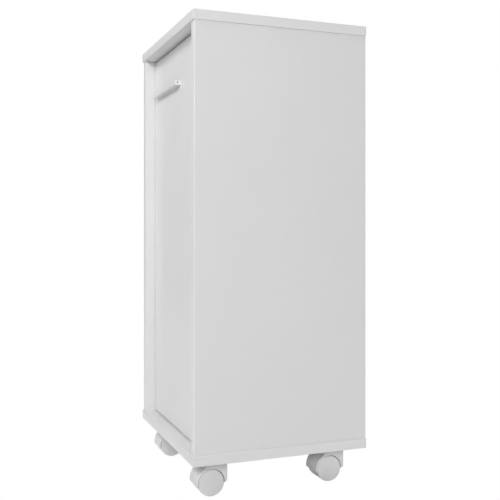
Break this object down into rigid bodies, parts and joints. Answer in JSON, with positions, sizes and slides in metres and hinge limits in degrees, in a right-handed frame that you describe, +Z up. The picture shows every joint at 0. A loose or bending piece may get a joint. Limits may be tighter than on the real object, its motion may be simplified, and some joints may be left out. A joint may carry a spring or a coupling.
{
  "type": "rolling pedestal cabinet",
  "caption": "Narrow rolling pedestal cabinet: a tall box with overhanging top and bottom boards, a recessed side-hinged door with a slim pull, loose shelves and twin-wheel castors.",
  "frame": {"origin": "on the floor under the middle of the cabinet: the centre of the bottom of its bounding box", "axes": "+Z up, the door faces -Y, +X to the right as seen from the front"},
  "size_m": [0.32, 0.284, 0.72],
  "materials": {
    "white_board": "satin white melamine face with a fine grain, white edge band",
    "white_hardboard": "smooth white lacquered hardboard",
    "pull_plastic": "glossy white moulded plastic",
    "castor_plastic": "white moulded plastic, slightly satin",
    "catch_plastic": "grey moulded plastic",
    "zinc_steel": "bright zinc plated steel"
  },
  "bodies": {
    "cabinet": {"bottom_board": "white_board", "top_board": "white_board", "left_side_panel": "white_board", "right_side_panel": "white_board", "back_panel": "white_hardboard", "lower_shelf": "white_board", "upper_shelf": "white_board", "lower_shelf_pin_front_left": "zinc_steel", "lower_shelf_pin_front_right": "zinc_steel", "lower_shelf_pin_back_left": "zinc_steel", "lower_shelf_pin_back_right": "zinc_steel", "upper_shelf_pin_front_left": "zinc_steel", "upper_shelf_pin_front_right": "zinc_steel", "upper_shelf_pin_back_left": "zinc_steel", "upper_shelf_pin_back_right": "zinc_steel", "cam_lock_front_left": "zinc_steel", "assembly_screw_front_left": "zinc_steel", "cam_lock_front_right": "zinc_steel", "assembly_screw_front_right": "zinc_steel", "cam_lock_back_left": "zinc_steel", "assembly_screw_back_left": "zinc_steel", "cam_lock_back_right": "zinc_steel", "assembly_screw_back_right": "zinc_steel", "lower_hinge_frame_leaf": "zinc_steel", "lower_hinge_pin": "zinc_steel", "upper_hinge_frame_leaf": "zinc_steel", "upper_hinge_pin": "zinc_steel", "magnetic_catch": "catch_plastic", "castor_front_left_plate": "zinc_steel", "castor_front_left_kingpin": "zinc_steel", "castor_front_right_plate": "zinc_steel", "castor_front_right_kingpin": "zinc_steel", "castor_back_left_plate": "zinc_steel", "castor_back_left_kingpin": "zinc_steel", "castor_back_right_plate": "zinc_steel", "castor_back_right_kingpin": "zinc_steel"},
    "door": {"door_panel": "white_board", "door_pull": "pull_plastic", "pull_screw_left": "zinc_steel", "pull_screw_right": "zinc_steel", "lower_hinge_door_leaf": "zinc_steel", "upper_hinge_door_leaf": "zinc_steel", "strike_plate": "zinc_steel"},
    "castor_front_left": {"castor_front_left_hood": "castor_plastic", "castor_front_left_axle": "zinc_steel"},
    "castor_front_left_wheel_left": {"castor_front_left_wheel_left": "castor_plastic"},
    "castor_front_left_wheel_right": {"castor_front_left_wheel_right": "castor_plastic"},
    "castor_front_right": {"castor_front_right_hood": "castor_plastic", "castor_front_right_axle": "zinc_steel"},
    "castor_front_right_wheel_left": {"castor_front_right_wheel_left": "castor_plastic"},
    "castor_front_right_wheel_right": {"castor_front_right_wheel_right": "castor_plastic"},
    "castor_back_left": {"castor_back_left_hood": "castor_plastic", "castor_back_left_axle": "zinc_steel"},
    "castor_back_left_wheel_left": {"castor_back_left_wheel_left": "castor_plastic"},
    "castor_back_left_wheel_right": {"castor_back_left_wheel_right": "castor_plastic"},
    "castor_back_right": {"castor_back_right_hood": "castor_plastic", "castor_back_right_axle": "zinc_steel"},
    "castor_back_right_wheel_left": {"castor_back_right_wheel_left": "castor_plastic"},
    "castor_back_right_wheel_right": {"castor_back_right_wheel_right": "castor_plastic"}
  },
  "joints": [
    {"name": "door_hinge", "type": "hinge", "parent": "cabinet", "child": "door", "pos_m": [0.1397, -0.1255, 0.3875], "axis": [0, 0, 1], "range_deg": [0, 110]},
    {"name": "castor_front_left_swivel", "type": "hinge", "parent": "cabinet", "child": "castor_front_left", "pos_m": [-0.111, -0.0948, 0.053], "axis": [0, 0, 1], "continuous": true},
    {"name": "castor_front_left_wheel_left_spin", "type": "hinge", "parent": "castor_front_left", "child": "castor_front_left_wheel_left", "pos_m": [-0.111, -0.1042, 0.0202], "axis": [1, 0, 0], "continuous": true},
    {"name": "castor_front_left_wheel_right_spin", "type": "hinge", "parent": "castor_front_left", "child": "castor_front_left_wheel_right", "pos_m": [-0.111, -0.1042, 0.0202], "axis": [1, 0, 0], "continuous": true},
    {"name": "castor_front_right_swivel", "type": "hinge", "parent": "cabinet", "child": "castor_front_right", "pos_m": [0.111, -0.0948, 0.053], "axis": [0, 0, 1], "continuous": true},
    {"name": "castor_front_right_wheel_left_spin", "type": "hinge", "parent": "castor_front_right", "child": "castor_front_right_wheel_left", "pos_m": [0.111, -0.1042, 0.0202], "axis": [1, 0, 0], "continuous": true},
    {"name": "castor_front_right_wheel_right_spin", "type": "hinge", "parent": "castor_front_right", "child": "castor_front_right_wheel_right", "pos_m": [0.111, -0.1042, 0.0202], "axis": [1, 0, 0], "continuous": true},
    {"name": "castor_back_left_swivel", "type": "hinge", "parent": "cabinet", "child": "castor_back_left", "pos_m": [-0.111, 0.1018, 0.053], "axis": [0, 0, 1], "continuous": true},
    {"name": "castor_back_left_wheel_left_spin", "type": "hinge", "parent": "castor_back_left", "child": "castor_back_left_wheel_left", "pos_m": [-0.111, 0.0924, 0.0202], "axis": [1, 0, 0], "continuous": true},
    {"name": "castor_back_left_wheel_right_spin", "type": "hinge", "parent": "castor_back_left", "child": "castor_back_left_wheel_right", "pos_m": [-0.111, 0.0924, 0.0202], "axis": [1, 0, 0], "continuous": true},
    {"name": "castor_back_right_swivel", "type": "hinge", "parent": "cabinet", "child": "castor_back_right", "pos_m": [0.111, 0.1018, 0.053], "axis": [0, 0, 1], "continuous": true},
    {"name": "castor_back_right_wheel_left_spin", "type": "hinge", "parent": "castor_back_right", "child": "castor_back_right_wheel_left", "pos_m": [0.111, 0.0924, 0.0202], "axis": [1, 0, 0], "continuous": true},
    {"name": "castor_back_right_wheel_right_spin", "type": "hinge", "parent": "castor_back_right", "child": "castor_back_right_wheel_right", "pos_m": [0.111, 0.0924, 0.0202], "axis": [1, 0, 0], "continuous": true}
  ]
}
